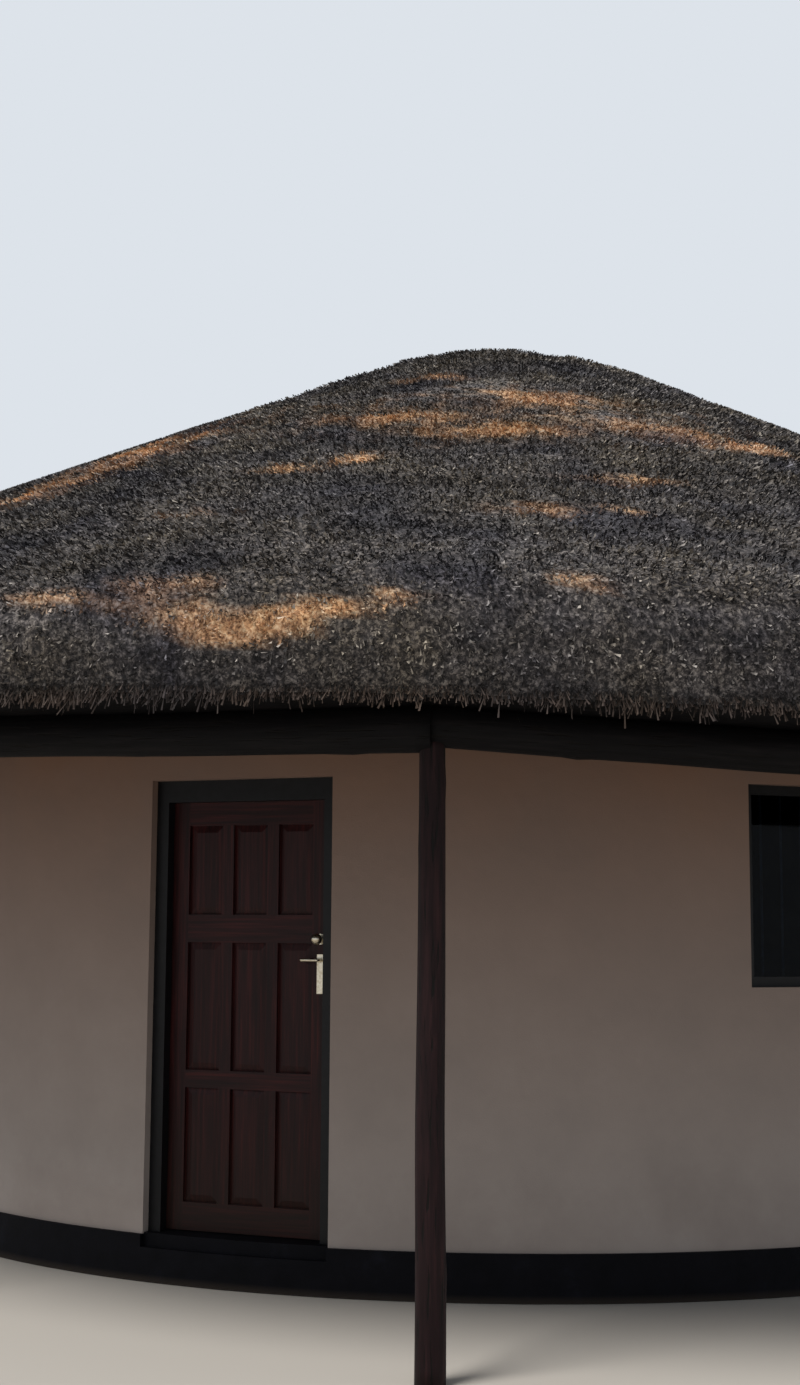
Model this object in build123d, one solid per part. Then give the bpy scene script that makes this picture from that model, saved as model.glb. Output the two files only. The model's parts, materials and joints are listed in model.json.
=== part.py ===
from build123d import *
from math import cos, degrees, radians, sin, sqrt, tan
import os

os.makedirs("parts", exist_ok=True)

# A thatched rondavel with a pole veranda, in millimetres. The origin is on the
# ground at the centre of the round wall, +Z is up, and the door faces -Y.
# An azimuth is measured from the door, positive towards +X.

# Round wall and the dark plinth under it
wall_radius = 3450
wall_thickness = 230
plinth_height = 205
plinth_projection = 20
floor_top = 205

# Doorway in the wall, and the sill that closes the plinth under it
doorway_width = 920
doorway_top = 2255
sill_height = 55
sill_setback = 12

# Windows
window_width = 900
window_bottom = 1330
window_top = 2235
window_azimuths = {"left": -46.5, "right": 46.5, "back": 180}
window_setback = 45
window_frame_face = 45
window_frame_depth = 50
window_mullion = 30
glass_thickness = 6

# Door frame, behind the outer face of the wall
frame_setback = 50
jamb_face = 62
head_face = 100
frame_depth = 100
rebate = 12
door_gap = 5
closing_relief = 2

# Panelled door leaf, three panels wide and three high
leaf_thickness = 40
stile = 88
muntin = 58
top_rail = 118
lock_rail = 127
middle_rail = 80
bottom_rail = 125
top_panels = 411
bottom_panels = 511
panel_thickness = 22
panel_bevel = 7
panel_bevel_width = 32
panel_tongue = 9
panel_gap = 1

# Door furniture
hinge_length = 100
hinge_knuckle = 7
hinge_plate = 4
hinge_plate_width = 38
hinge_inset = 180
hinge_gap = 0.5
hinge_proud = 3
hinge_clear = 9
latch_inset = 38
lever_height = 1232
lever_length = 75
lever_radius = 8
lever_reach = 42
lever_hole_gap = 0.3
spindle_radius = 4.5
spindle_gap = 1.5
lock_plate_width = 34
lock_plate_length = 175
lock_plate_thickness = 3
lever_below_plate_top = 25
lever_leaf_gap = 0.5
knob_height = 1325
knob_radius = 25
knob_rose_radius = 24
knob_rose_thickness = 5
knob_neck_radius = 10
knob_neck = 22

# Veranda: posts on a ring outside the wall, and the headroom under their beam
veranda_depth = 1450
headroom = 2200
post_radius = 58
post_count = 10
first_post = 17

# Roof: a straight cone of thatch on poles, with a rounded cap. The whole roof
# has settled to one side by the angle roof_lean.
roof_pitch = 26.3
thatch_thickness = 405
eave_overhang = 690
eave_round = 330
cap_radius = 1100
roof_lean = 1.5
lean_azimuth = 112
lean_height = 2400

# Roof timbers
batten_size = 38
batten_count = 12
batten_first = 760
batten_end_margin = 48
rafter_radius = 55
rafter_end_margin = 310
short_rafter_start = 1330
hub_radius = 200
hub_drop = 90
upper_beam_radius = 75
beam_tip_radius = 85
beam_butt_radius = 95
beam_end_gap = 2
notch = 20
plate_width = 150
plate_height = 90
seat_gap = 0.3

# Worked out from the sizes above. Two rafters cross each bay of the veranda, a quarter
# of the way from either post, where the straight beam is nearer to the axis. Heights on
# the roof's slope are those at the axis, the tops of the cones on which its layers lie.
post_ring_radius = wall_radius + veranda_depth
eave_radius = post_ring_radius + eave_overhang
half_bay = 180 / post_count
post_pace = 2 * half_bay
beam_crossing = post_ring_radius * cos(radians(half_bay)) / cos(radians(half_bay / 2))
first_rafter = first_post + half_bay / 2
rafter_count = 2 * post_count
wall_inner = wall_radius - wall_thickness
pitch_tan = tan(radians(roof_pitch))
pitch_cos = cos(radians(roof_pitch))
pitch_sin = sin(radians(roof_pitch))
eave_foot = eave_radius - thatch_thickness * pitch_sin
rafter_end = eave_foot - rafter_end_margin
batten_last = rafter_end - batten_end_margin
lower_beam_top = headroom + 2 * beam_butt_radius
beam_top = lower_beam_top + 2 * upper_beam_radius + seat_gap
rafter_under = beam_top - notch + beam_crossing * pitch_tan
rafter_axis_top = rafter_under + rafter_radius / pitch_cos
batten_under = rafter_axis_top + (rafter_radius + seat_gap) / pitch_cos
thatch_under = batten_under + (batten_size + seat_gap) / pitch_cos
ridge_point = thatch_under + thatch_thickness / pitch_cos
plate_top = rafter_under - (wall_radius + wall_inner) / 2 * pitch_tan + notch
wall_top = plate_top - plate_height
far = 3 * eave_radius


def direction(azimuth):
    """Level unit vector from the hut's axis towards an azimuth."""
    return Vector(sin(radians(azimuth)), -cos(radians(azimuth)), 0)


low_side = direction(lean_azimuth)
lean_axis = Axis((0, 0, lean_height), (-low_side.Y, low_side.X, 0))


def lean(shape):
    """Tips a piece of the roof to the side to which the roof has settled."""
    return shape.rotate(lean_axis, roof_lean)


def turned(shape, azimuth):
    """Carries a shape made at the door, on the -Y side, round to an azimuth."""
    return shape.rotate(Axis.Z, azimuth)


def block(x, y, z):
    """A box from its (low, high) limits along each axis."""
    middle = ((x[0] + x[1]) / 2, (y[0] + y[1]) / 2, (z[0] + z[1]) / 2)
    return Pos(*middle) * Box(x[1] - x[0], y[1] - y[0], z[1] - z[0])


def tube(outer, inner, low, high):
    """An upright ring between two radii and two heights."""
    middle = Pos(0, 0, (low + high) / 2)
    return middle * (Cylinder(outer, high - low) - Cylinder(inner, 2 * (high - low)))


def wedge(first, last):
    """An upright prism that holds everything between two azimuths."""
    points = [(0, 0)]
    steps = 3
    for i in range(steps + 1):
        way = direction(first + (last - first) * i / steps)
        points.append((way.X * far, way.Y * far))
    outline = make_face(Polyline(*points, close=True))
    return extrude(Pos(0, 0, -far / 2) * outline, far)


def slab(width, low, high):
    """A box as wide as an opening that runs outwards from the axis at the door."""
    return block((-width / 2, width / 2), (-far, 0), (low, high))


def keep(shape, node):
    """Writes one named piece."""
    if isinstance(shape, (list, ShapeList)):
        shape = Compound(children=list(shape))
    shape.label = node
    export_step(shape, "parts/" + node + ".step")


# The wall's top follows the roof: it is drawn too high, then cut by the leaning plane
# of the wall plate
above_wall = lean(block((-far, far), (-far, far), (wall_top, wall_top + far)))
wall_ring = tube(wall_radius, wall_inner, plinth_height, ridge_point) - above_wall


# Floor, plinth and door sill
def make_base():
    floor = Pos(0, 0, floor_top / 2) * Cylinder(wall_inner, floor_top)
    plinth = tube(wall_radius + plinth_projection, wall_inner, 0, plinth_height)
    sill_bottom = plinth_height - sill_height
    sill_top = plinth_height + door_gap
    plinth -= slab(doorway_width, sill_bottom, plinth_height + sill_height)
    sill = tube(wall_radius - sill_setback, wall_inner, sill_bottom, sill_top)
    sill &= slab(doorway_width, 0, far)
    keep(floor, "floor_slab")
    keep(plinth, "plinth")
    keep(sill, "door_sill")


# Round wall: eight lengths between the openings, and what closes it over and under them
def make_walls():
    openings = slab(doorway_width, 0, far)
    for azimuth in window_azimuths.values():
        openings += turned(slab(window_width, 0, far), azimuth)
    side = window_azimuths["right"]
    third = (180 - side) / 3
    cuts = [0, side, side + third, side + 2 * third, 180]
    lengths = ["front_{}", "{}_side_front", "{}_side_back", "back_{}"]
    for hand, sign in (("right", 1), ("left", -1)):
        for name, first, last in zip(lengths, cuts, cuts[1:]):
            piece = wall_ring & wedge(sign * first, sign * last)
            keep(piece - openings, "wall_" + name.format(hand))
    keep(wall_ring & slab(doorway_width, doorway_top, far), "wall_over_door")
    for name, azimuth in window_azimuths.items():
        under = turned(slab(window_width, 0, window_bottom), azimuth)
        over = turned(slab(window_width, window_top, far), azimuth)
        keep(wall_ring & under, "wall_under_window_" + name)
        keep(wall_ring & over, "wall_over_window_" + name)


# Steel windows: a frame with one mullion, and a sheet of glass on each side of it
def make_windows():
    half = window_width / 2
    chord = sqrt(wall_radius**2 - half**2)
    front = -(chord - window_setback)
    depth = (front, front + window_frame_depth)
    low, high = window_bottom, window_top
    face = window_frame_face
    frame = block((-half, half), depth, (low, high))
    clear = block((-half + face, half - face), (-far, 0), (low + face, high - face))
    bar = block((-window_mullion / 2, window_mullion / 2), depth, (low + face, high - face))
    frame = frame - clear + bar
    middle = (depth[0] + depth[1]) / 2
    sheet = (middle - glass_thickness / 2, middle + glass_thickness / 2)
    panes = []
    for sign in (-1, 1):
        sides = sorted((sign * window_mullion / 2, sign * (half - face)))
        panes.append(block(sides, sheet, (low + face, high - face)))
    for name, azimuth in window_azimuths.items():
        keep(turned(frame, azimuth), "window_frame_" + name)
        keep([turned(pane, azimuth) for pane in panes], "window_glass_" + name)


# Where the door frame and the leaf stand
doorway_chord = sqrt(wall_radius**2 - (doorway_width / 2) ** 2)
frame_front = -(doorway_chord - frame_setback)
frame_back = frame_front + frame_depth
leaf_back = frame_back
leaf_front = leaf_back - leaf_thickness
leaf_half = doorway_width / 2 - jamb_face
leaf_bottom = plinth_height + 2 * door_gap
leaf_top = doorway_top - head_face + rebate
leaf_side = leaf_half + rebate - door_gap
hinge_x = -(leaf_half + rebate - door_gap / 2)
hinge_y = leaf_back + hinge_knuckle + hinge_proud
latch_x = leaf_half - latch_inset


# Door frame: two jambs and a head, each with a rebate that the leaf shuts into
def make_door_frame():
    half = doorway_width / 2
    sill_top = plinth_height + door_gap
    step = (leaf_front - door_gap, far)
    head_bottom = doorway_top - head_face
    for name, sign in (("left", -1), ("right", 1)):
        sides = sorted((sign * leaf_half, sign * half))
        jamb = block(sides, (frame_front, frame_back), (sill_top, doorway_top))
        cut = sorted((0, sign * (leaf_half + rebate)))
        jamb -= block(cut, step, (0, far))
        keep(jamb, "door_jamb_" + name)
    head = block((-leaf_half, leaf_half), (frame_front, frame_back), (head_bottom, doorway_top))
    head -= block((-far, far), step, (0, head_bottom + rebate + door_gap))
    keep(head, "door_head")


def leaf_rows():
    """The (low, high) heights of the three rows of panels."""
    low = leaf_bottom + bottom_rail
    middle = low + bottom_panels + middle_rail
    high = leaf_top - top_rail
    return [(low, low + bottom_panels), (middle, high - top_panels - lock_rail),
            (high - top_panels, high)]


def leaf_columns():
    """The (left, right) sides of the three columns of panels."""
    width = (2 * leaf_side - 2 * stile - 2 * muntin) / 3
    lefts = [-leaf_side + stile + i * (width + muntin) for i in range(3)]
    return [(left, left + width) for left in lefts]


# Door leaf: grooved stiles, rails and muntins, with nine fielded panels let into them
def make_leaf():
    centre = (leaf_front + leaf_back) / 2
    closing_side = leaf_side - closing_relief
    depth = (leaf_front, leaf_back)
    joinery = block((-leaf_side, closing_side), depth, (leaf_bottom, leaf_top))
    panels = []
    for low, high in leaf_rows():
        for left, right in leaf_columns():
            width, height = right - left, high - low
            place = Pos((left + right) / 2, centre, (low + high) / 2)
            groove = panel_tongue + panel_gap
            joinery -= place * Box(width, 2 * leaf_thickness, height)
            thin = panel_thickness - 2 * panel_bevel
            joinery -= place * Box(width + 2 * groove, thin + panel_gap, height + 2 * groove)
            panel = Box(width + 2 * panel_tongue, thin, height + 2 * panel_tongue)
            raised = 2 * (panel_bevel_width + panel_gap)
            for sign in (-1, 1):
                base = Plane((0, sign * thin / 2, 0), x_dir=(1, 0, 0), z_dir=(0, sign, 0))
                foot = base * Rectangle(width - 4 * panel_gap, height - 4 * panel_gap)
                top = base.offset(panel_bevel) * Rectangle(width - raised, height - raised)
                panel += loft([foot, top])
            panels.append(place * panel)
    hole = Pos(latch_x, centre, lever_height + floor_top)
    joinery -= hole * Rot(90, 0, 0) * Cylinder(spindle_radius + spindle_gap, 2 * leaf_thickness)
    keep(joinery, "door_leaf")
    keep(panels, "door_panels")


# Three butt hinges on the room side: two outer knuckles stay, the middle one turns
def make_hinges():
    fixed, moving = [], []
    third = hinge_length / 3
    heights = [leaf_bottom + hinge_inset, (leaf_bottom + leaf_top) / 2, leaf_top - hinge_inset]
    plate_y = (leaf_back, leaf_back + hinge_plate)
    for z in heights:
        span = (z - hinge_length / 2, z + hinge_length / 2)
        left, right = hinge_x - hinge_clear, hinge_x + hinge_clear
        still = block((left - hinge_plate_width, left), plate_y, span)
        swing = block((right, right + hinge_plate_width), plate_y, span)
        for i in (-1, 0, 1):
            length = third - hinge_gap
            middle = z + i * third
            knuckle = Pos(hinge_x, hinge_y, middle) * Cylinder(hinge_knuckle, length)
            tab_z = (middle - length / 2, middle + length / 2)
            if i == 0:
                tab = block((hinge_x, right), plate_y, tab_z)
                swing = swing + knuckle + tab
            else:
                tab = block((left, hinge_x), plate_y, tab_z)
                still = still + knuckle + tab
        fixed.append(still)
        moving.append(swing)
    keep(fixed, "hinge_frame_leaves")
    keep(moving, "hinge_door_leaves")


# Lever handle on both sides of the leaf, on a long plate, with a round knob above it
def make_furniture():
    z = lever_height + floor_top
    top = z + lever_below_plate_top
    plates = []
    for face, sign in ((leaf_front, -1), (leaf_back, 1)):
        depth = sorted((face, face + sign * lock_plate_thickness))
        sides = (latch_x - lock_plate_width / 2, latch_x + lock_plate_width / 2)
        plate = block(sides, depth, (top - lock_plate_length, top))
        bore = Pos(latch_x, face, z) * Rot(90, 0, 0)
        plate -= bore * Cylinder(lever_radius + lever_hole_gap, 4 * lock_plate_thickness)
        plates.append(plate)
    keep(plates, "lock_plates")

    front = leaf_front - lever_reach
    back = leaf_back + lever_reach
    spindle = Pos(latch_x, (front + back) / 2, z) * Rot(90, 0, 0)
    handle = spindle * Cylinder(spindle_radius, back - front)
    for face, end, sign in ((leaf_front, front, -1), (leaf_back, back, 1)):
        first = face + sign * lever_leaf_gap
        neck = Pos(latch_x, (first + end) / 2, z) * Rot(90, 0, 0)
        handle += neck * Cylinder(lever_radius, abs(end - first))
        grip = Pos(latch_x - lever_length / 2, end, z) * Rot(0, 90, 0)
        handle += grip * Cylinder(lever_radius, lever_length)
        handle += Pos(latch_x, end, z) * Sphere(lever_radius)
        handle += Pos(latch_x - lever_length, end, z) * Sphere(lever_radius)
    keep(handle, "lever_handle")

    z = knob_height + floor_top
    knobs = []
    for face, sign in ((leaf_front, -1), (leaf_back, 1)):
        rose = Pos(latch_x, face + sign * knob_rose_thickness / 2, z) * Rot(90, 0, 0)
        neck_end = face + sign * (knob_neck + knob_radius)
        neck = Pos(latch_x, (face + neck_end) / 2, z) * Rot(90, 0, 0)
        knob = rose * Cylinder(knob_rose_radius, knob_rose_thickness)
        knob += neck * Cylinder(knob_neck_radius, abs(neck_end - face))
        knob += Pos(latch_x, neck_end, z) * Sphere(knob_radius)
        knobs.append(knob)
    keep(knobs, "door_knob")


def post_azimuths():
    """The azimuths of the posts, evenly round the hut."""
    return [first_post + i * post_pace for i in range(post_count)]


# Ring beam: poles from post to post in two layers, each layer with its top level.
# Each pole is also given untrimmed, as the shape that hollows the posts.
def beam_poles(top, tip, butt):
    poles, uncut = [], []
    for first in post_azimuths():
        last = first + post_pace
        start = direction(first) * post_ring_radius + Vector(0, 0, top - tip)
        end = direction(last) * post_ring_radius + Vector(0, 0, top - butt)
        way = (end - start).normalized()
        length = (end - start).length + 2 * butt
        pole = Cylinder(tip, length) if tip == butt else Cone(tip, butt, length)
        pole = Plane((start + end) * 0.5, z_dir=way) * pole
        half = degrees(beam_end_gap / 2 / post_ring_radius)
        uncut.append(pole)
        poles.append(pole & wedge(first + half, last - half))
    return poles, uncut


# Rafters: of the two over each bay one meets the hub, and a short one stops before it.
# Both are notched over that bay's pole and over the wall plate.
def rafter_poles(poles, plate):
    rafters = {"long": [], "short": []}
    for i in range(rafter_count):
        kind = "long" if i % 2 == 0 else "short"
        azimuth = first_rafter + i * half_bay
        inner = hub_radius if kind == "long" else short_rafter_start
        length = (rafter_end - inner) / pitch_cos
        middle = (rafter_end + inner) / 2
        axis = Vector(0, -pitch_cos, -pitch_sin)
        place = Plane((0, -middle, rafter_axis_top - middle * pitch_tan), z_dir=axis)
        pole = place * Cylinder(rafter_radius, length + 2 * rafter_radius * pitch_tan)
        pole = turned(pole, azimuth)
        pole &= tube(rafter_end, inner, 0, 2 * ridge_point)
        rafters[kind].append(pole - plate - poles[i // 2])
    return rafters


# Battens: rings of straight laths, nailed down at each rafter
def batten_rings():
    turn = first_rafter - 90

    def pyramid(apex):
        outer, inner = eave_radius, batten_first / 2
        faces = []
        for r in (outer, inner):
            height = apex - r * pitch_tan
            outline = RegularPolygon(r, rafter_count, rotation=turn)
            faces.append(Pos(0, 0, height) * outline)
        return loft(faces)

    lath = batten_size / pitch_cos
    gap = seat_gap / pitch_cos
    skin = pyramid(thatch_under - gap) - pyramid(thatch_under - gap - lath)
    rings = []
    pace = (batten_last - batten_first) / (batten_count - 1)
    for i in range(batten_count):
        r = batten_first + i * pace
        sketch = RegularPolygon(r + batten_size, rafter_count, rotation=turn)
        sketch -= RegularPolygon(r, rafter_count, rotation=turn)
        rings.append(skin & extrude(sketch, 2 * ridge_point))
    return rings


# Hub: the king block at the top, which the long rafters butt against
def make_hub():
    reach = hub_radius * pitch_tan
    low = rafter_under - reach - hub_drop
    high = batten_under - reach
    return Pos(0, 0, (low + high) / 2) * Cylinder(hub_radius - seat_gap, high - low)


# Thatch: a thick straight coat with a rounded, square-cut eave, and a domed cap
def make_thatch():
    def top(r):
        return ridge_point - r * pitch_tan

    def under(r):
        return thatch_under - r * pitch_tan

    neck = cap_radius - thatch_thickness * pitch_sin
    coat = Polyline((cap_radius, top(cap_radius)), (eave_radius, top(eave_radius)),
                    (eave_foot, under(eave_foot)), (neck, under(neck)), close=True)
    coat = make_face(coat)
    corner = coat.vertices().sort_by(Axis.X)[-1]
    coat = fillet(corner, eave_round)
    dome = cap_radius / pitch_sin
    crown = top(cap_radius) - dome * pitch_cos + dome
    half = radians(roof_pitch / 2)
    shoulder = (dome * sin(half), crown - dome + dome * cos(half))
    cap = make_face([
        ThreePointArc((0, crown), shoulder, (cap_radius, top(cap_radius))),
        Polyline((cap_radius, top(cap_radius)), (neck, under(neck)), (0, under(0)), (0, crown)),
    ])
    profile = Plane.XZ
    return revolve(profile * coat, Axis.Z), revolve(profile * cap, Axis.Z)


def make_roof():
    mean = (wall_radius + wall_inner) / 2
    plate = tube(mean + plate_width / 2, mean - plate_width / 2, wall_top, plate_top)
    upper, _ = beam_poles(beam_top, upper_beam_radius, upper_beam_radius)
    lower, uncut = beam_poles(lower_beam_top, beam_tip_radius, beam_butt_radius)
    rafters = rafter_poles(upper, plate)
    coat, cap = make_thatch()
    keep(lean(plate), "wall_plate")
    keep([lean(pole) for pole in upper], "ring_beam_upper")
    keep([lean(pole) for pole in lower], "ring_beam_lower")
    keep([lean(pole) for pole in rafters["long"]], "rafters_long")
    keep([lean(pole) for pole in rafters["short"]], "rafters_short")
    keep([lean(ring) for ring in batten_rings()], "battens")
    keep(lean(make_hub()), "roof_hub")
    keep(lean(coat), "thatch_coat")
    keep(lean(cap), "thatch_cap")
    return [lean(pole) for pole in uncut]


# Posts: upright poles, each hollowed at the top to carry the ring beam
def make_posts(poles):
    posts = []
    axis_height = lower_beam_top - beam_tip_radius
    above_poles = lean(block((-far, far), (-far, far), (axis_height, axis_height + far)))
    for i, azimuth in enumerate(post_azimuths()):
        foot = direction(azimuth) * post_ring_radius
        post = Pos(foot.X, foot.Y, beam_top / 2) * Cylinder(post_radius, beam_top)
        posts.append(post - above_poles - poles[i - 1] - poles[i])
    keep(posts, "veranda_posts")


make_base()
make_walls()
make_windows()
make_door_frame()
make_leaf()
make_hinges()
make_furniture()
make_posts(make_roof())
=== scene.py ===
# %% [markdown]
# # A thatched rondavel
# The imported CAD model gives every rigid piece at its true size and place. This script
# loads it as a fixed frame and dresses it: grass on the roof, knots and cracks on the
# poles, plaster on the wall, varnish on the door. Every length is in metres, the door
# faces -Y, and the origin is on the ground at the centre of the round wall.

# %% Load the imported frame
import json
import math

import bmesh
import bpy
import numpy as np
from mathutils import Matrix, Vector


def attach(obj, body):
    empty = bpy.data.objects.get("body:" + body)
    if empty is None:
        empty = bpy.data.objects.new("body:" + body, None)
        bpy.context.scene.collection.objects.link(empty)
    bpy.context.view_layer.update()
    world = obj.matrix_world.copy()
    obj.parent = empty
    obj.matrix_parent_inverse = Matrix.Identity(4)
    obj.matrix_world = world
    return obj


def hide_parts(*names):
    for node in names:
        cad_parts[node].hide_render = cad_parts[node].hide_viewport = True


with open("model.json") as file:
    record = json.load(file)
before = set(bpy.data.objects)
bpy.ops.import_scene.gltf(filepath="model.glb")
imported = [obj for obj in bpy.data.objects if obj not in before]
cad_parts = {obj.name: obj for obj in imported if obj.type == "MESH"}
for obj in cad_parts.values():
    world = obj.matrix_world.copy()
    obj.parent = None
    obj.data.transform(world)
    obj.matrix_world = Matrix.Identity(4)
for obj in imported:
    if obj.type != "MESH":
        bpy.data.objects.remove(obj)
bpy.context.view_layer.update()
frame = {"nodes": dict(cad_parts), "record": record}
nodes = frame["nodes"]

# %% [markdown]
# ## Camera
# The picture is taken from eye height, a little to the right of the door, with the frame
# upright and turned up towards the roof. A camera could be aimed by eye; here its place,
# its turn and its focal length in pixels were worked out from the curve of the plinth,
# the doorway and the window.

# %% Camera
EYE = Vector((3.875, -10.94, 1.59))
HEADING = math.radians(22.35)
PITCH = math.radians(7.2)
ROLL = 0.006
FOCAL_PIXELS = 1850
PHOTO_HEIGHT = 1385
SENSOR_SIDE = 36

camera_data = bpy.data.cameras.new("camera")
camera_data.sensor_width = SENSOR_SIDE
camera_data.lens = FOCAL_PIXELS / PHOTO_HEIGHT * SENSOR_SIDE
camera_data.clip_start, camera_data.clip_end = 0.1, 200
camera = bpy.data.objects.new("camera", camera_data)
aim = Matrix.Rotation(HEADING, 4, "Z") @ Matrix.Rotation(math.pi / 2 + PITCH, 4, "X")
camera.matrix_world = Matrix.Translation(EYE) @ aim @ Matrix.Rotation(ROLL, 4, "Z")
bpy.context.scene.collection.objects.link(camera)
bpy.context.scene.camera = camera
print("camera lens", round(camera_data.lens, 2), "mm")

# %% [markdown]
# ## Colours, nodes and materials
# Finishes are picked as sRGB hex values, but shaders work in linear light, so one function
# turns one into the other. Node trees could be wired by hand in the editor; a script stays
# readable with one function that feeds sockets with values or links, one that adds a node,
# and one that starts a material with its Principled shader.


# %% Colour, node and material helpers
def colour(hex_value):
    """A linear colour from an sRGB hex value such as B9AC99."""
    parts = [int(hex_value[i:i + 2], 16) / 255 for i in (0, 2, 4)]
    linear = [p / 12.92 if p <= 0.04045 else ((p + 0.055) / 1.055) ** 2.4 for p in parts]
    return (*linear, 1)


def feed(node, **inputs):
    """Sets or links sockets, each by its name, with _ for a space, or by number, as in _6."""
    for name, value in inputs.items():
        name = name.replace("_", " ")
        socket = node.inputs[int(name[1:]) if name[1:].isdigit() else name]
        if isinstance(value, bpy.types.NodeSocket):
            node.id_data.links.new(value, socket)
        else:
            socket.default_value = value


def add(tree, kind, settings=None, **inputs):
    """Adds one shader node; the setting "stops" holds a colour ramp's positions and colours."""
    node = tree.nodes.new("ShaderNode" + kind)
    for name, value in (settings or {}).items():
        if name != "stops":
            setattr(node, name, value)
            continue
        elements = node.color_ramp.elements
        while len(elements) < len(value):
            elements.new(1)
        for element, (position, hex_value) in zip(elements, value):
            element.position = position
            element.color = colour(hex_value)
    feed(node, **inputs)
    return node


def material(name, **sockets):
    """A material with one Principled shader, whose fixed values are set on its own sockets."""
    made = bpy.data.materials.new(name)
    made.use_nodes = True
    tree = made.node_tree
    tree.nodes.clear()
    shader = add(tree, "BsdfPrincipled", **sockets)
    add(tree, "OutputMaterial", Surface=shader.outputs[0])
    print("material:", name)
    return made, tree, shader


BLEND = {"data_type": "RGBA"}
MULTIPLY = {"data_type": "RGBA", "blend_type": "MULTIPLY"}
print("a mid grey, 808080, is", round(colour("808080")[0], 3), "in linear light")

# %% [markdown]
# ## Floor
# The hut stands on a plain pale floor of matt studio paper, wide enough that its edge lies
# far behind. Its one face could come from a mesh operator; bmesh makes the same without
# touching the selection. A rough surface takes soft shadows and shows no reflection.

# %% Floor
FLOOR_SIZE = 80
FLOOR_DROP = 0.002

floor_mesh = bpy.data.meshes.new("studio_floor")
maker = bmesh.new()
bmesh.ops.create_grid(maker, x_segments=1, y_segments=1, size=FLOOR_SIZE / 2)
maker.to_mesh(floor_mesh)
maker.free()
studio_floor = bpy.data.objects.new("studio_floor", floor_mesh)
studio_floor.location.z = -FLOOR_DROP
bpy.context.scene.collection.objects.link(studio_floor)
studio_paper, tree, shader = material("pale_studio_floor", Roughness=0.9,
                                      Base_Color=colour("C9C5BE"))
floor_mesh.materials.append(studio_paper)

# %% [markdown]
# ## Backdrop and fill
# An even pale sky fills the shadows. Turned up to look white it would flood the deep shade
# under the eave, so the world has two strengths: a full one that the camera, reflections
# and glass see as the backdrop, and a weaker one that lights the hut. The Standard view
# shows the colours as they are, without a film's curve.

# %% Backdrop and fill
FILL_STRENGTH = 0.45
bpy.context.scene.view_settings.view_transform = "Standard"

world = bpy.data.worlds.new("studio")
bpy.context.scene.world = world
world.use_nodes = True
tree = world.node_tree
tree.nodes.clear()
path = add(tree, "LightPath")
seen = add(tree, "Math", {"operation": "MAXIMUM"}, _0=path.outputs["Is Camera Ray"],
           _1=path.outputs["Is Glossy Ray"])
seen = add(tree, "Math", {"operation": "MAXIMUM"}, _0=seen.outputs[0],
           _1=path.outputs["Is Transmission Ray"])
fill = add(tree, "Background", Color=colour("E6EAF0"), Strength=FILL_STRENGTH)
backdrop = add(tree, "Background", Color=colour("DDE3EA"), Strength=1.0)
both = add(tree, "MixShader", _0=seen.outputs[0], _1=fill.outputs[0], _2=backdrop.outputs[0])
add(tree, "OutputWorld", Surface=both.outputs[0])
print("fill", FILL_STRENGTH, "of the backdrop")

# %% [markdown]
# ## Lamps
# A strong lamp high in front and to the left gives the soft day that falls on the roof and
# slants in under the eave, and a weaker one behind keeps the far side readable. Close lamps
# would leave a pool of light on the floor, so both stand about 60 m off and are very wide.

# %% Lamps
LAMPS = {"main_lamp": ((-13, -36, 50), 30000), "back_lamp": ((16, 40, 44), 12000)}
LAMP_SIZE = 24
LAMP_AIM = Vector((0, 0, 2.5))

for name, (place, watts) in LAMPS.items():
    lamp_data = bpy.data.lights.new(name, "AREA")
    lamp_data.shape = "DISK"
    lamp_data.size = LAMP_SIZE
    lamp_data.energy = watts
    lamp_data.color = colour("FFF9F2")[:3]
    lamp = bpy.data.objects.new(name, lamp_data)
    lamp.location = place
    lamp.rotation_euler = (LAMP_AIM - lamp.location).to_track_quat("-Z", "Y").to_euler()
    bpy.context.scene.collection.objects.link(lamp)
    print(name, watts, "W")

# %% [markdown]
# ## The roof's lean
# The roof has settled to one side by a degree and a half. Its grass could be laid straight
# on the tipped roof, but round shapes are easier about an upright axis. So everything on it
# is worked out upright and then tipped by the same turn as the CAD roof.

# %% Lean of the roof
ROOF_LEAN = math.radians(1.5)
LEAN_AZIMUTH = math.radians(112)
LEAN_HEIGHT = 2.4

low_side = Vector((math.sin(LEAN_AZIMUTH), -math.cos(LEAN_AZIMUTH), 0))
lean_axis = Vector((-low_side.y, low_side.x, 0))
pivot = Matrix.Translation((0, 0, LEAN_HEIGHT))
ROOF_TIP = pivot @ Matrix.Rotation(ROOF_LEAN, 4, lean_axis) @ pivot.inverted()


def leaned(points):
    """Tips an array of points with the roof."""
    tip = np.array(ROOF_TIP)
    return points @ tip[:3, :3].T + tip[:3, 3]


print("the roof leans", round(math.degrees(ROOF_LEAN), 2), "degrees")

# %% [markdown]
# ## Profile of the thatch
# Cut down its middle, the coat runs from the top over a small dome, down the straight
# slope, round the soft nose of the eave and back up along the underside. It could be read
# off the CAD mesh; worked out from the same few sizes it is finer, and every row also says
# which way is out.

# %% Profile of the thatch, with the sizes of the part's source in metres
ROOF_PITCH = math.radians(26.3)
EAVE_RADIUS = 5.59
THATCH_THICKNESS = 0.405
CAP_RADIUS = 1.1
EAVE_ROUND = 0.33
APEX = 5.4698
DOME_ROWS, SLOPE_ROWS, NOSE_ROWS, UNDER_ROWS = 16, 70, 14, 50

slope_down = np.array([math.cos(ROOF_PITCH), -math.sin(ROOF_PITCH)])
slope_out = np.array([math.sin(ROOF_PITCH), math.cos(ROOF_PITCH)])


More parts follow.
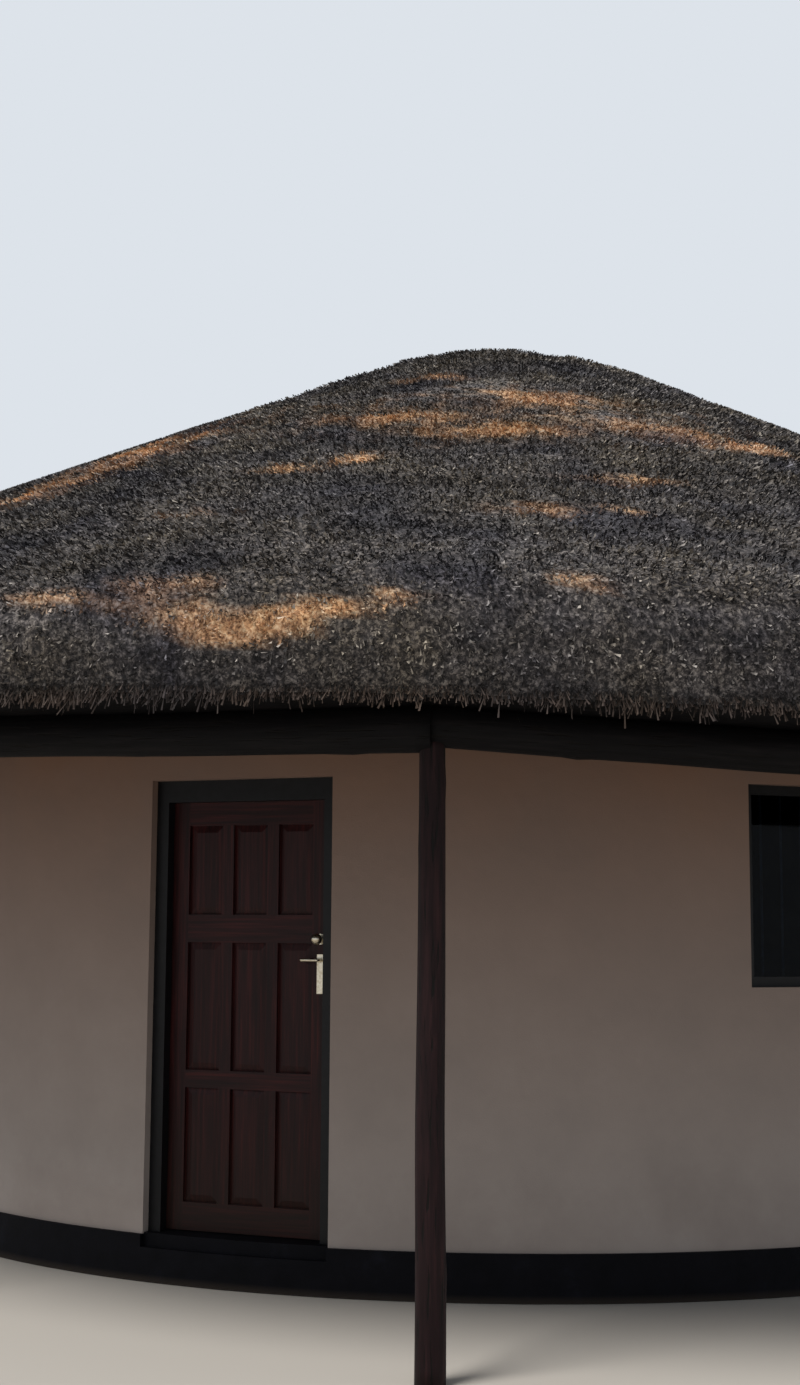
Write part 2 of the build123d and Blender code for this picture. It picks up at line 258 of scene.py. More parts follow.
def roof_profile():
    """Rows of radius, height and outward direction: the outer side, then the underside."""
    dome = CAP_RADIUS / math.sin(ROOF_PITCH)
    top = np.array([CAP_RADIUS, APEX - CAP_RADIUS * math.tan(ROOF_PITCH)])
    centre = top[1] - dome * math.cos(ROOF_PITCH)
    outer = []
    for a in np.linspace(0, ROOF_PITCH, DOME_ROWS)[:-1]:
        outer.append((dome * math.sin(a), centre + dome * math.cos(a), math.sin(a), math.cos(a)))
    corner = np.array([EAVE_RADIUS, APEX - EAVE_RADIUS * math.tan(ROOF_PITCH)])
    end = corner - slope_down * EAVE_ROUND
    for share in np.linspace(0, 1, SLOPE_ROWS)[:-1]:
        outer.append((*(top + (end - top) * share), *slope_out))
    middle = end - slope_out * EAVE_ROUND
    for a in np.linspace(0, math.pi / 2, NOSE_ROWS):
        way = slope_out * math.cos(a) + slope_down * math.sin(a)
        outer.append((*(middle + way * EAVE_ROUND), *way))
    foot = corner - slope_out * THATCH_THICKNESS
    begin = middle + slope_down * EAVE_ROUND
    for share in (0.5, 1.0):
        outer.append((*(begin + (foot - begin) * share), *slope_down))
    inner = np.array([0.0, APEX - THATCH_THICKNESS / math.cos(ROOF_PITCH)])
    under = [(*(foot + (inner - foot) * share), *(-slope_out))
             for share in np.linspace(0, 1, UNDER_ROWS)[1:]]
    return np.array(outer), np.array(under)


outer_profile, under_profile = roof_profile()
eave_foot = outer_profile[-1]
print("profile rows", len(outer_profile), len(under_profile), "foot", eave_foot[:2].round(3))

# %% [markdown]
# ## Uneven ground for the grass
# A thatcher dresses the coat by eye with a flat bat, so it has long swells and small
# hollows. They could be sculpted, or come from a displacement texture; a sum of seeded
# waves gives the same unevenness at any point, for the skin and for the stems that stand
# on it. The skin only ever sinks below the CAD outline, and the stems fill the room above.


# %% Unevenness
def make_waves(lengths, per_length, generator):
    """Seeded wave vectors, phases and heights for pairs of wavelength and height."""
    waves = []
    for length, height in lengths:
        for _ in range(per_length):
            way = generator.normal(size=3)
            way *= 2 * math.pi / length / np.linalg.norm(way)
            waves.append((way, generator.uniform(0, 2 * math.pi), height / math.sqrt(per_length)))
    return waves


def wave_sum(points, waves):
    """The height of all the waves together at each point."""
    return sum(height * np.sin(points @ way + phase) for way, phase, height in waves)


SWELLS = make_waves([(1.9, 0.010), (0.8, 0.008), (0.33, 0.007), (0.15, 0.004)], 7,
                    np.random.default_rng(7))
SKIN_DEPTH = 0.032
LEAST_DEPTH, MOST_DEPTH = 0.008, 0.08


def skin_depth(points):
    """How far the skin lies under the CAD outline, never less than a few millimetres."""
    return np.clip(SKIN_DEPTH + wave_sum(points, SWELLS), LEAST_DEPTH, MOST_DEPTH)


print("waves over the coat:", len(SWELLS))

# %% [markdown]
# ## Meshes from arrays
# The roof needs hundreds of thousands of points. Adding them one by one takes minutes;
# handing Blender whole arrays of places, faces and attributes takes a moment.


# %% Array helpers
def array_mesh(name, points, faces, attributes, smooth=False):
    """A mesh object from an array of points and an array of faces with equal corner counts."""
    mesh = bpy.data.meshes.new(name)
    corners = faces.shape[1]
    mesh.vertices.add(len(points))
    mesh.vertices.foreach_set("co", np.asarray(points, np.float32).ravel())
    mesh.loops.add(faces.size)
    mesh.loops.foreach_set("vertex_index", faces.astype(np.int32).ravel())
    mesh.polygons.add(len(faces))
    mesh.polygons.foreach_set("loop_start", np.arange(0, faces.size, corners, dtype=np.int32))
    mesh.update(calc_edges=True)
    mesh.polygons.foreach_set("use_smooth", np.full(len(faces), smooth))
    for key, values in attributes.items():
        values = np.asarray(values, np.float32)
        kind, field = ("FLOAT", "value") if values.ndim == 1 else ("FLOAT_VECTOR", "vector")
        mesh.attributes.new(key, kind, "POINT").data.foreach_set(field, values.ravel())
    piece = bpy.data.objects.new(name, mesh)
    bpy.context.scene.collection.objects.link(piece)
    return piece


def ring_faces(rings, sides):
    """Faces between stacked rings of points that all have the same count of sides."""
    ring = np.arange(sides)
    following = (ring + 1) % sides
    return np.concatenate([np.stack([i * sides + ring, (i + 1) * sides + ring,
                                     (i + 1) * sides + following, i * sides + following], 1)
                           for i in range(rings - 1)])


def around(rows, azimuths):
    """Points and outward directions of profile rows at azimuths, before the lean."""
    radius, height, out_r, out_z = rows.T
    s, c = np.sin(azimuths), -np.cos(azimuths)
    points = np.stack([radius * s, radius * c, height], 1)
    return points, np.stack([out_r * s, out_r * c, out_z], 1)


# %% [markdown]
# ## Points of the thatch skin
# Grass thatch is a dense mass: under the loose ends the eye sees a dark, matted surface.
# That mass could be left to the plain CAD cones, but they are dead straight. A surface of
# revolution with the unevenness pressed into it replaces them here; they stay in MuJoCo.

# %% Points of the thatch skin
SKIN_SIDES = 340
turns = np.linspace(0, 2 * math.pi, SKIN_SIDES, endpoint=False)
whole_profile = np.concatenate([outer_profile[1:], under_profile[:-1]])
rows = np.repeat(whole_profile, SKIN_SIDES, axis=0)
skin_points, skin_out = around(rows, np.tile(turns, len(whole_profile)))
skin_points = skin_points - skin_out * skin_depth(skin_points)[:, None]
print("skin points", len(skin_points))

# %% [markdown]
# ## Fresh patches and painted sunlight
# The golden patches in front are painted sunlight, pale gold where dappled light falls on
# the roof. Elsewhere the grey top layer is worn off and the grass under it is golden. The
# patches could be painted on an image; as level ellipses with ragged edges they are a sum
# of bumps that both the skin and the stems can read. Those in front are placed one by one,
# the rest by seed.

# %% Painted sunlit patches in front, and fresh patches
# Those in front are painted sunlight; the others, placed by seed, are fresh grass
# (azimuth in degrees, height, half width and half height in metres, how golden)
SUNLIT_FRONT_PATCHES = [
    (9.0, 2.565, 0.2, 0.035, 1.5), (11.0, 2.58, 0.17, 0.035, 1.4),
    (12.6, 2.635, 0.14, 0.032, 1.3), (13.8, 2.665, 0.1, 0.03, 0.8),
    (7.6, 2.625, 0.14, 0.04, 1.0), (6.5, 2.68, 0.17, 0.05, 0.8),
    (6.9, 2.765, 0.2, 0.035, 0.8), (2.6, 2.7, 0.34, 0.03, 0.6),
    (16.1, 2.695, 0.1, 0.035, 0.6), (23.0, 2.77, 0.12, 0.04, 0.65),
    (21.2, 3.21, 0.2, 0.045, 0.9), (25.3, 3.23, 0.18, 0.03, 0.6),
    (27.5, 3.5, 0.19, 0.04, 1.0), (5.2, 3.57, 0.17, 0.035, 0.8),
    (9.2, 3.67, 0.1, 0.045, 1.1), (7.6, 4.06, 0.26, 0.045, 0.9),
    (18.4, 3.93, 0.28, 0.055, 1.0), (24.8, 4.3, 0.25, 0.09, 0.7),
    (35.2, 3.99, 0.26, 0.05, 1.0), (41.3, 3.91, 0.24, 0.055, 0.9),
    (7.2, 4.6, 0.2, 0.05, 0.8), (4.1, 3.21, 0.25, 0.03, 0.4),
    (20.0, 4.1, 1.7, 0.45, 0.34), (-16, 3.8, 0.3, 0.25, 0.6),
    (-14, 3.55, 0.25, 0.2, 0.6), (-18, 4.05, 0.3, 0.2, 0.5),
]
OTHER_COUNT = 34
generator = np.random.default_rng(5)
OTHER_PATCHES = [(generator.uniform(55, 335), generator.uniform(2.7, 4.5),
                  generator.uniform(0.3, 0.8), generator.uniform(0.04, 0.07),
                  generator.uniform(0.4, 0.9)) for _ in range(OTHER_COUNT)]
RAGGED = make_waves([(0.3, 0.35), (0.11, 0.45)], 6, generator)
RAGGED_BASE, RAGGED_SHARE = 0.85, 0.8
EDGE_START, EDGE_SPAN = 0.2, 0.5


def freshness_and_sunlight_at(points):
    """How golden each point is, from 0 to 1: painted sunlight in front, fresh grass elsewhere."""
    radius = np.hypot(points[:, 0], points[:, 1])
    azimuth = np.degrees(np.arctan2(points[:, 0], -points[:, 1]))
    ragged = wave_sum(points, RAGGED)
    total = np.zeros(len(points))
    for middle, height, width, depth, strength in SUNLIT_FRONT_PATCHES + OTHER_PATCHES:
        apart = (azimuth - middle + 180) % 360 - 180
        sideways = np.radians(apart) * radius / width
        total += strength * np.exp(-sideways**2 - ((points[:, 2] - height) / depth) ** 2)
    edged = total * (RAGGED_BASE + RAGGED_SHARE * ragged) - EDGE_START
    return np.clip(edged / EDGE_SPAN, 0, 1)


# %% [markdown]
# ## Thatch skin
# The points become one smooth mesh that carries its freshness and its painted sunlight for
# the material to read.

# %% Thatch skin
thatch_skin = array_mesh("thatch_skin", leaned(skin_points),
                         ring_faces(len(whole_profile), SKIN_SIDES),
                         {"fresh": freshness_and_sunlight_at(skin_points)}, smooth=True)
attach(thatch_skin, "hut")
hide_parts("thatch_coat", "thatch_cap")
print("thatch skin faces", len(thatch_skin.data.polygons))

# %% [markdown]
# ## Grass stems
# Up close the coat is millions of stems whose cut ends are beaten flush down the slope.
# Hair or scattered copies could stand for them, but a mesh holds still and exports. Drawn
# one by one they would be too many, so each drawn stem stands for a pinch of them: one
# triangle with its point sunk in the skin and its blunt, cut end outwards, some 9 mm wide.
# For its material it carries a random tone, its reach from foot to end, and its freshness
# with the painted sunlight.


# %% Stem helpers
TONE_SPREAD = (1.5, 2.6)
EAVE_MARGIN = 0.005


def stems(name, foot, along, lengths, widths, generator, fresh, lightest):
    """A mesh of stems from their feet, directions, lengths and widths."""
    count = len(foot)
    side = generator.normal(size=(count, 3))
    side -= along * np.sum(side * along, axis=1)[:, None]
    half = side / np.linalg.norm(side, axis=1)[:, None] * widths[:, None] / 2
    end = foot + along * lengths[:, None]
    points = np.stack([foot, end + half, end - half], 1)
    attributes = {
        # lightest caps the tone; on the coat and on the fringe it carries painted shade
        "tone": np.repeat(generator.beta(*TONE_SPREAD, size=count) * lightest, 3),
        "reach": np.tile([0.0, 1.0, 1.0], count),
        "fresh": np.repeat(fresh, 3),
    }
    faces = np.arange(count * 3).reshape(count, 3)
    piece = array_mesh(name, leaned(points.reshape(-1, 3)), faces, attributes)
    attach(piece, "hut")
    print(name, count, "stems")
    return piece


def directions(azimuth):
    """Level outward, level sideways and upward unit vectors at azimuths."""
    s, c, nil = np.sin(azimuth), -np.cos(azimuth), np.zeros_like(azimuth)
    return np.stack([s, c, nil], 1), np.stack([-c, s, nil], 1), np.array([0, 0, 1.0])


def stay_inside(foot, along, lengths):
    """Cuts stems so that none reaches past the CAD eave."""
    widest = outer_profile[:, 0].max() - EAVE_MARGIN
    near = np.hypot(foot[:, 0], foot[:, 1])
    end = foot + along * lengths[:, None]
    beyond = np.maximum(np.hypot(end[:, 0], end[:, 1]) - near, 1e-5)
    return lengths * np.clip((widest - near) / beyond, 0, 1)


# %% [markdown]
# ## Where the stems of the coat stand
# A bundle covers the same area anywhere on the roof, so stems are dealt out by area: few in
# the small rings at the top, many in the wide ones below. Spread evenly by height they
# would crowd the top. The nose of the eave is looked at end on, so it gets almost twice as
# many for its area.

# %% Where the stems of the coat stand
STEMS_PER_QUARTER = 150000
NOSE_CROWDING = 0.9

row_numbers = np.arange(len(outer_profile))
step = np.hypot(*np.diff(outer_profile[:, :2], axis=0).T)
steep = 1 - outer_profile[1:, 2:] @ slope_out
ring_cover = step * outer_profile[1:, 0] * (1 + NOSE_CROWDING * steep)
cover = np.concatenate([[0], np.cumsum(ring_cover)])


def stand_on_coat(quarter, generator):
    """Profile rows and azimuths for the stems of one quarter of the roof."""
    place = generator.uniform(0, cover[-1], STEMS_PER_QUARTER)
    share = np.interp(place, cover, row_numbers)
    rows = np.stack([np.interp(share, row_numbers, outer_profile[:, k]) for k in range(4)], 1)
    return rows, (quarter + generator.uniform(-0.5, 0.5, STEMS_PER_QUARTER)) * math.pi / 2


print("the coat covers about", round(cover[-1] * 2 * math.pi, 1), "square metres")

# %% [markdown]
# ## How the stems of the coat lie
# On the slope a stem lies downhill, lifted a little and splayed sideways. Round the nose
# the grass is cut across, so some ends point out and others hang along the curve. One rule
# for both would comb the eave flat, so the two lays are mixed by how far round the nose a
# stem stands.

# %% How the stems of the coat lie
SPLAY = 0.4
MOST_SPLAY = 1.1
SLOPE_LIFT = (0.15, 0.95)
NOSE_LIFT, NOSE_LIFT_SPREAD = -0.1, 0.45
HANGING_SHARE = 0.5
HANGING_FROM = 0.15
HANGING_LIFT = 0.3


def lie_on_coat(rows, azimuth, out, generator):
    """Directions of the stems, and how far round the nose each stands, from 0 to 1."""
    count = len(rows)
    outward, level, up = directions(azimuth)
    down = outward * slope_down[0] + up * slope_down[1]
    normal = outward * slope_out[0] + up * slope_out[1]
    on_nose = np.clip(1 - rows[:, 2:] @ slope_out, 0, 1)
    yaw = generator.normal(0, SPLAY, count)
    lift = generator.uniform(*SLOPE_LIFT, count) * (1 - on_nose)
    lift += generator.normal(NOSE_LIFT, NOSE_LIFT_SPREAD, count) * on_nose
    along = down * np.cos(lift)[:, None] + normal * np.sin(lift)[:, None]
    hanging = (generator.uniform(size=count) < HANGING_SHARE) & (on_nose > HANGING_FROM)
    tangent = outward * rows[:, 3:] - up * rows[:, 2:3]
    along = np.where(hanging[:, None], tangent + out * lift[:, None] * HANGING_LIFT, along)
    along += level * np.tan(np.clip(yaw, -MOST_SPLAY, MOST_SPLAY))[:, None]
    return along / np.linalg.norm(along, axis=1)[:, None], on_nose


# %% [markdown]
# ## The coat's stems in four quarters
# One mesh for all stems would be too large a piece, so there are four. Each stem starts
# just under the skin and is cut where it would rise out of the CAD outline. Towards the
# foot of the nose the grass lies in its own shade, which is painted in by lowering its tones.

# %% Stems over the slope and the nose of the eave
STEM_LENGTHS = (0.02, 0.052)
STEM_WIDTHS = (0.006, 0.013)
NOSE_SHORTER = 0.2
STEM_ROOT = 0.006
LEAST_RISE = 0.05
OVER_SLOPE, OVER_NOSE = 0.002, 0.012
SHADE_HEIGHT, DARKEST = 0.12, 0.25

thatch_pieces = []
for quarter, name in enumerate(("front", "right", "back", "left")):
    generator = np.random.default_rng(20 + quarter)
    rows, azimuth = stand_on_coat(quarter, generator)
    points, out = around(rows, azimuth)
    along, on_nose = lie_on_coat(rows, azimuth, out, generator)
    depth = skin_depth(points)
    lengths = generator.uniform(*STEM_LENGTHS, len(rows)) * (1 - NOSE_SHORTER * on_nose)
    rise = np.maximum(np.sum(along * out, axis=1), LEAST_RISE)
    lengths = np.minimum(lengths, (depth + OVER_SLOPE) / rise + OVER_NOSE * on_nose)
    foot = points - out * (depth + STEM_ROOT)[:, None]
    lengths = stay_inside(foot, along, lengths)
    widths = generator.uniform(*STEM_WIDTHS, len(rows))
    # Painted shade: stem tones go down towards the foot of the nose
    painted_nose_shade = np.clip((points[:, 2] - eave_foot[1]) / SHADE_HEIGHT, DARKEST, 1)
    thatch_pieces.append(stems("thatch_stems_" + name, foot, along, lengths, widths, generator,
                               freshness_and_sunlight_at(points), painted_nose_shade))

# %% [markdown]
# ## The ragged lower edge
# The lowest stems hang out of the eave in tufts of uneven length. A fringe of even stems
# looks like a brush, so three wavelengths of clumping and a few long strays vary it. The
# stems are finer than those of the coat, because here they stand free against the shade,
# and their tones are held low as painted shade under the eave.

# %% Fringe
FRINGE_STEMS = 30000
FRINGE_DEPTH, FRINGE_CROWDING = 0.11, 1.6
FRINGE_LENGTHS, FRINGE_STRAY = (0.018, 0.05), 0.011
FRINGE_SHORTEST, FRINGE_LONGEST = 0.012, 0.13
FRINGE_CLUMPS = [(0.5, 0.5), (0.16, 0.4), (0.07, 0.3)]
CLUMP_RADIUS, CLUMP_SHARE = 5.4, 0.7
# Mean and spread of how far stems lean out and sideways for each metre they hang
LEAN_OUT, LEAN_ASIDE = (0.45, 0.3), (0, 0.32)
FOOT_RISE = 0.05
FINE_WIDTHS = (0.004, 0.008)

generator = np.random.default_rng(31)
azimuth = generator.uniform(0, 2 * math.pi, FRINGE_STEMS)
back = generator.uniform(0, 1, FRINGE_STEMS) ** FRINGE_CROWDING * FRINGE_DEPTH
clump = wave_sum(np.stack([azimuth * CLUMP_RADIUS, back, back], 1),
                 make_waves(FRINGE_CLUMPS, 5, generator))
outward, level, up = directions(azimuth)
radius = eave_foot[0] - back * slope_down[0]
height = eave_foot[1] - back * slope_down[1] + generator.uniform(0, FOOT_RISE, FRINGE_STEMS)
foot = outward * radius[:, None] + up * height[:, None]
along = outward * generator.normal(*LEAN_OUT, FRINGE_STEMS)[:, None]
along += level * generator.normal(*LEAN_ASIDE, FRINGE_STEMS)[:, None] - up
along /= np.linalg.norm(along, axis=1)[:, None]
lengths = generator.uniform(*FRINGE_LENGTHS, FRINGE_STEMS) * (1 + CLUMP_SHARE * clump)
lengths += generator.exponential(FRINGE_STRAY, FRINGE_STEMS)
lengths = stay_inside(foot, along, np.clip(lengths, FRINGE_SHORTEST, FRINGE_LONGEST))
widths = generator.uniform(*FINE_WIDTHS, FRINGE_STEMS)
# Tones held to a fifth: painted shade under the eave
thatch_pieces.append(stems("thatch_fringe", foot, along, lengths, widths, generator,
                           fresh=np.full(FRINGE_STEMS, 0.1), lightest=0.2))

# %% [markdown]
# ## The underside
# From the veranda and from the room one looks up at long stems that run down the slope
# between the battens. They could be a striped texture on the skin; real stems catch the
# light along their edges, and few are needed because the underside is in shade.

# %% Stems of the underside
LINING_STEMS = 26000
LINING_INNER, LINING_MARGIN = 0.4, 0.2
LINING_LENGTHS = (0.12, 0.3)
LINING_SPLAY, LINING_DROOP = 0.16, (0.05, 0.22)
LINING_ROOT, LINING_HANG = 0.004, 0.02
LINING_END = 0.1

generator = np.random.default_rng(37)
azimuth = generator.uniform(0, 2 * math.pi, LINING_STEMS)
radius = np.sqrt(generator.uniform(LINING_INNER**2, (eave_foot[0] - LINING_MARGIN) ** 2,
                                   LINING_STEMS))
height = eave_foot[1] + (eave_foot[0] - radius) * math.tan(ROOF_PITCH)
outward, level, up = directions(azimuth)
normal = outward * slope_out[0] + up * slope_out[1]
points = outward * radius[:, None] + up * height[:, None]
depth = skin_depth(points)
foot = points + normal * (depth + LINING_ROOT)[:, None]
along = outward * slope_down[0] + up * slope_down[1]
along = along + level * generator.normal(0, LINING_SPLAY, LINING_STEMS)[:, None]
along -= normal * generator.uniform(*LINING_DROOP, LINING_STEMS)[:, None]
along /= np.linalg.norm(along, axis=1)[:, None]
lengths = np.minimum(generator.uniform(*LINING_LENGTHS, LINING_STEMS),
                     (depth + LINING_HANG) / -np.sum(along * normal, axis=1))
lengths = np.minimum(lengths, (eave_foot[0] - LINING_END - radius) / slope_down[0])
widths = generator.uniform(*FINE_WIDTHS, LINING_STEMS)
thatch_pieces.append(stems("thatch_lining", foot, along, lengths, widths, generator,
                           fresh=np.full(LINING_STEMS, 0.2), lightest=0.7))

# %% [markdown]
# ## Weather on the grass
# Rain, dust and lichen leave broad cool and warm clouds on a thatched roof, and each tied
# course of bundles shows as a faint level band. Both could be baked into an image; as
# noises that multiply the grass colour they fall alike on the skin and on the stems.


# %% Weather on the grass
def drift(tree, where, size, stops, detail=2, contrast=0.5):
    """A tone that drifts in patches of one size: its value, and its colour."""
    value = add(tree, "TexNoise", Vector=where, Scale=1 / size, Detail=detail,
                Roughness=contrast).outputs["Fac"]
    return value, add(tree, "ValToRGB", {"stops": stops}, Fac=value).outputs["Color"]


def weathered(tree, where, own):
    """Multiplies a grass colour by broad cool and warm clouds and by faint level courses."""
    # Clouds are about half a metre across
    _, cloud = drift(tree, where, 0.5, [(0.36, "AEB0C2"), (0.5, "F0EEEE"), (0.64, "FFF8EA")],
                     4, 0.6)
    # Courses of bundles are tied about 0.15 m apart up the slope
    level = add(tree, "Mapping", Vector=where, Scale=(0.7, 0.7, 7)).outputs[0]
    _, course = drift(tree, level, 1.0, [(0.35, "C8C6C4"), (0.62, "FFFFFF")], 3, 0.55)
    tinted = add(tree, "Mix", MULTIPLY, Factor=1.0, _6=own, _7=cloud)
    return add(tree, "Mix", MULTIPLY, Factor=1.0, _6=tinted.outputs[2], _7=course).outputs[2]


# %% [markdown]
# ## Matted grass
# The mass under the loose ends is old grass pressed together: a dark, dull surface with
# silvery stem ends in it, golden where the top layer is gone, and pale gold where sunlight
# is painted on. Dry grass has a rough, waxy skin, so roughness is high and nothing shines.
# A noise with a bump stands for the ends, which are too small to model twice.

# %% Matted grass
matted_grass, tree, shader = material("matted_grass_thatch", Roughness=0.92)
where = add(tree, "TexCoord").outputs["Object"]
# Stem ends are 5 to 8 mm across, drawn at about 20 mm so that they show at this distance
fine, grey = drift(tree, where, 0.02, [(0.36, "1C1B1D"), (0.5, "4A4748"), (0.66, "9A9592")],
                   3, 0.75)
gold = add(tree, "ValToRGB", {"stops": [(0.36, "6A4C38"), (0.5, "D0A47C"), (0.66, "FFE4C0")]},
           Fac=fine).outputs["Color"]
fresh = add(tree, "Attribute", {"attribute_name": "fresh"}).outputs["Fac"]
own = add(tree, "Mix", BLEND, Factor=fresh, _6=grey, _7=gold).outputs[2]
bump = add(tree, "Bump", Height=fine, Distance=0.012, Strength=0.8)
feed(shader, Base_Color=weathered(tree, where, own), Normal=bump.outputs[0])
thatch_skin.data.materials.append(matted_grass)

# %% [markdown]
# ## Dry grass stems
# Grass that has stood in the weather for years is grey-brown, with silvery and
# straw-coloured ends and much shade between them. Every stem could have its own texture;
# the random tone it carries is enough. It is darkened at its foot with painted shade from
# the stems around it, takes its tone towards its end, and is golden where it stands in a
# fresh patch or in painted sunlight.

# %% Dry grass stems
GREY_STEMS = [(0.0, "0E0D0E"), (0.12, "2E2C2D"), (0.3, "605D5D"), (0.55, "98948F"),
              (0.9, "E2DED8")]
GOLD_STEMS = [(0.0, "9A765C"), (0.3, "DCB08A"), (0.6, "FADCBC"), (0.9, "FFF6E8")]

dry_grass, tree, shader = material("dry_grass_stems", Roughness=0.78)
tone, reach, fresh = [add(tree, "Attribute", {"attribute_name": key}).outputs["Fac"]
                      for key in ("tone", "reach", "fresh")]
grey = add(tree, "ValToRGB", {"stops": GREY_STEMS}, Fac=tone)
gold = add(tree, "ValToRGB", {"stops": GOLD_STEMS}, Fac=tone)
own = add(tree, "Mix", BLEND, Factor=fresh, _6=grey.outputs["Color"], _7=gold.outputs["Color"])
# Painted shade: each stem darkens towards its foot, where the stems around it shade it
shade = add(tree, "ValToRGB", {"stops": [(0.0, "4E4540"), (0.7, "FFFFFF")]}, Fac=reach)
lit = add(tree, "Mix", MULTIPLY, Factor=1.0, _6=own.outputs[2], _7=shade.outputs["Color"])
where = add(tree, "TexCoord").outputs["Object"]
feed(shader, Base_Color=weathered(tree, where, lit.outputs[2]))
for piece in thatch_pieces:
    piece.data.materials.append(dry_grass)
print("pieces of stems:", len(thatch_pieces))

# %% [markdown]
# ## Round poles
# Posts and beams are peeled tree trunks. None is quite straight or round: each has a slow
# bend, a taper, and swellings where branches were cut off. They could be sculpted one by
# one; a tube whose rings are shifted and swollen by a few seeded waves gives all of that,
# and an attribute that runs round and along it lets the material's grain follow.

# %% Knots and bends of a pole
SIDES = 20
KNOT_SPACING, KNOT_LENGTH, KNOT_TURN, KNOT_HEIGHT = 0.55, 0.035, 0.45, 0.07
SWELL_ROOM = 0.05


def pole_swell(share, turn, length, generator):
    """How far a pole swells at each ring and side, as a share of its radius."""
    swell = np.zeros((len(share), SIDES))
    for _ in range(max(int(length / KNOT_SPACING), 2)):
        knot, side = generator.uniform(0.04, 0.96), generator.uniform(0, 2 * math.pi)
        apart = (turn - side + math.pi) % (2 * math.pi) - math.pi
        along = (share - knot) * length / KNOT_LENGTH
        swell += KNOT_HEIGHT * np.exp(-(along[:, None] ** 2)
                                      - (apart[None, :] / KNOT_TURN) ** 2)
    oval, phase = generator.uniform(0.01, 0.035), generator.uniform(0, 2 * math.pi)
    swell += oval * np.sin(2 * turn[None, :] + phase + 2.0 * share[:, None])
    swell += 0.012 * np.sin(3 * turn[None, :] + 5 * share[:, None] * length + phase)
    return swell - SWELL_ROOM


def pole_bends(share, length, bend, sag, generator):
    """Sideways shifts of a pole's rings: slow bends both ways, and a sagging middle."""
    phases = generator.uniform(0, 2 * math.pi, 4)
    arch = np.sin(np.pi * share)
    shift = [bend * arch * np.sin(2.1 * share * length + phases[k])
             + 0.3 * bend * arch * np.sin(6.3 * share * length + phases[k + 2]) for k in (0, 1)]
    shift[1] += sag * arch
    return shift


# %% [markdown]
# ## Building a pole
# Small rings close a pole's ends, and a mitre lets neighbours meet over a post.

# %% Pole builder
RING_SPACING = 0.06
END_SIZES = [0.02, 0.93]
MITRE_REACH = 0.2


def pole_arrays(start, end, start_radius, end_radius, generator, bend, spacing=RING_SPACING,
                sag=0.0, mitre=0.0):
    """Points, faces and grain of one uneven round pole with flat or mitred ends."""
    start, end = np.array(start, float), np.array(end, float)
    length = np.linalg.norm(end - start)
    way = (end - start) / length
    across = np.cross(way, [0, 0, 1.0] if abs(way[2]) < 0.9 else [1.0, 0, 0])
    across /= np.linalg.norm(across)
    other = np.cross(way, across)
    rings = max(int(length / spacing), 4)
    share = np.concatenate([[0, 0], np.linspace(0, 1, rings), [1, 1]])
    size = np.concatenate([END_SIZES, np.ones(rings), END_SIZES[::-1]])
    turn = np.linspace(0, 2 * math.pi, SIDES, endpoint=False)
    radius = start_radius + (end_radius - start_radius) * share
    reach = (radius * size)[:, None] * (1 + pole_swell(share, turn, length, generator))
    shift = pole_bends(share, length, bend, sag, generator)
    # A mitre pulls the outer side of each end along, fading out a little way from the end
    ends = (np.clip(1 - (1 - share) * length / MITRE_REACH, 0, 1)
            - np.clip(1 - share * length / MITRE_REACH, 0, 1))
    pulled = mitre * reach * np.cos(turn) * ends[:, None]
    points = (start + way * (share * length)[:, None])[:, None, :] + way * pulled[:, :, None]
    points = points + across * (reach * np.cos(turn) + shift[0][:, None])[:, :, None]
    points = points + other * (reach * np.sin(turn) + shift[1][:, None])[:, :, None]
    grain = np.stack([reach * np.cos(turn), reach * np.sin(turn),
                      np.broadcast_to((share * length)[:, None], reach.shape)], 2)
    grain = grain + generator.uniform(-50, 50, 3)
    # A pole's sides run the other way round than the roof's, so its faces are turned over
    faces = np.roll(ring_faces(len(share), SIDES)[:, ::-1], 1, axis=1)
    return points.reshape(-1, 3), faces, grain.reshape(-1, 3)


def join_poles(name, poles, replaced=(), tip_with_roof=False):
    """One piece from several poles."""
    points, faces, grain = zip(*poles)
    starts = np.cumsum([0] + [len(pole) for pole in points])
    faces = np.concatenate([pole + start for pole, start in zip(faces, starts)])
    points = np.concatenate(points)
    points = leaned(points) if tip_with_roof else points
    piece = array_mesh(name, points, faces, {"grain": np.concatenate(grain)}, smooth=True)
    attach(piece, "hut")
    if replaced:
        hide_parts(*replaced)
    print(name, len(poles), "poles")
    return piece


# %% [markdown]
# ## Posts and ring beam
# Ten posts carry two tiers of poles that run from post to post, butted over each post and
# mitred there. The lower tier tapers from butt to tip and all the poles sag a little under
# the roof. The straight CAD poles could be bent with modifiers; new ones at their places
# take knots and taper as well, and replace them.

# %% Posts and ring beam, at the CAD's places
POST_COUNT = 10
FIRST_POST = math.radians(17)
POST_RING = 4.9
POST_RADIUS = 0.058
POST_TAPER = 0.86
HEADROOM = 2.2
LOWER_TIP, LOWER_BUTT = 0.085, 0.095
UPPER_RADIUS = 0.075
# The roof's weight beds the upper poles into the lower ones, so no light shows between them
BEDDING = 0.025
SAG = 0.015
POST_BEND, BEAM_BEND = 0.004, 0.003
LOWER_TOP = HEADROOM + 2 * LOWER_BUTT
UPPER_TOP = LOWER_TOP + 2 * UPPER_RADIUS
BAY_MITRE = math.tan(math.pi / POST_COUNT)
# Each tier's top, the radius of its poles at tip and butt, and how far they are bedded
TIERS = ((LOWER_TOP, LOWER_TIP, LOWER_BUTT, 0), (UPPER_TOP, UPPER_RADIUS, UPPER_RADIUS, BEDDING))


